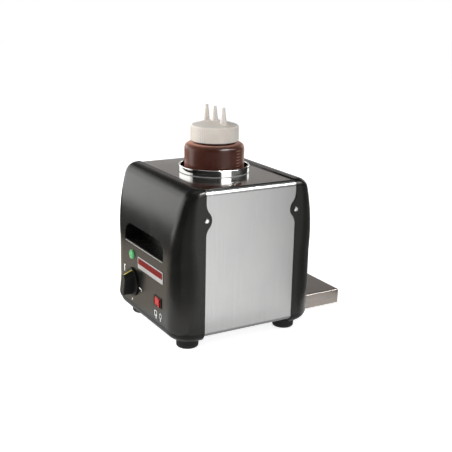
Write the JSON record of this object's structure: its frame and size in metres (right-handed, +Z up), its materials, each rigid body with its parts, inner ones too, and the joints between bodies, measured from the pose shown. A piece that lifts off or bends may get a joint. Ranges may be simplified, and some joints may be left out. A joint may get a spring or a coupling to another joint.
{
  "type": "sauce bottle warmer",
  "caption": "Electric water-bath warmer for a squeeze bottle of sauce: brushed steel sleeve between moulded end caps with hand slots, dial, rocker switch, lamp and rear shelf.",
  "frame": {"origin": "middle of the overall footprint, on the table surface under the feet", "axes": "+Z up, -Y out of the front with the controls, +Y towards the rear shelf, +X to the user's right"},
  "size_m": [0.2234, 0.3426, 0.3258],
  "materials": {
    "black_moulding": "satin moulded",
    "brushed_sheet": "fine brushed",
    "polished_steel": "polished",
    "zinc_sheet": "galvanised",
    "shelf_steel": "fine brushed",
    "foot_rubber": "matt",
    "screw_steel": "bright plated",
    "seal_rubber": "matt",
    "heater_casing": "rolled",
    "insulation_felt": "felted",
    "thermostat_casing": "moulded",
    "copper_tube": "drawn",
    "knob_plastic": "satin moulded",
    "index_paint": "painted",
    "green_lens": "clear moulded",
    "lamp_body": "moulded",
    "red_rocker": "glossy moulded",
    "gland_nylon": "moulded",
    "clear_bottle": "translucent moulded",
    "brown_sauce": "thick liquid",
    "spout_plastic": "translucent moulded"
  },
  "bodies": {
    "housing": {"front_cap": "black_moulding", "rear_cap": "black_moulding", "steel_cover": "brushed_sheet", "well_pot": "polished_steel", "base_plate": "zinc_sheet", "pot_stand": "zinc_sheet", "bulb_clip": "zinc_sheet", "pot_retaining_ring": "zinc_sheet", "rear_shelf": "shelf_steel", "feet": "foot_rubber", "foot_screws": "screw_steel", "foot_nuts": "screw_steel", "ear_screws": "screw_steel", "ear_nuts": "screw_steel", "stand_screws": "screw_steel", "heater_clamp_screw": "screw_steel", "thermostat_nut": "screw_steel", "shelf_screws": "screw_steel", "earth_stud": "screw_steel", "pot_gasket": "seal_rubber", "heater_band": "heater_casing", "insulation_sleeve": "insulation_felt", "thermostat_body": "thermostat_casing", "thermal_cutout": "thermostat_casing", "capillary_tube": "copper_tube", "switch_housing": "knob_plastic", "pilot_lens": "green_lens", "pilot_lamp": "lamp_body", "terminal_block": "lamp_body", "cable_gland": "gland_nylon", "gland_cap_nut": "gland_nylon", "gland_locknut": "gland_nylon"},
    "bottle": {"bottle_shell": "clear_bottle", "sauce_fill": "brown_sauce"},
    "bottle_seal": {"cap_seal": "seal_rubber"},
    "bottle_cap": {"spout_cap": "spout_plastic"},
    "knob": {"thermostat_knob": "knob_plastic", "knob_index": "index_paint", "thermostat_shaft": "screw_steel"},
    "rocker": {"switch_rocker": "red_rocker"}
  },
  "joints": [
    {"name": "bottle_lift", "type": "slide", "parent": "housing", "child": "bottle", "axis": [0, 0, 1], "range_m": [0, 0.16]},
    {"name": "cap_rise", "type": "slide", "parent": "bottle", "child": "bottle_seal", "axis": [0, 0, 1], "range_m": [0, 0.005]},
    {"name": "cap_turn", "type": "hinge", "parent": "bottle_seal", "child": "bottle_cap", "pos_m": [0, -0.0397, 0.28], "axis": [0, 0, 1], "range_deg": [0, 450]},
    {"name": "knob_turn", "type": "hinge", "parent": "housing", "child": "knob", "pos_m": [-0.038, -0.1557, 0.065], "axis": [0, 1, 0], "range_deg": [-79, 169]},
    {"name": "rocker_tip", "type": "hinge", "parent": "housing", "child": "rocker", "pos_m": [0.0485, -0.1487, 0.0623], "axis": [0, 0, 1], "range_deg": [0, 14]}
  ],
  "couplings": [
    {"joint": "cap_rise", "follows": "cap_turn", "m_per_rad": 0.00063662}
  ]
}
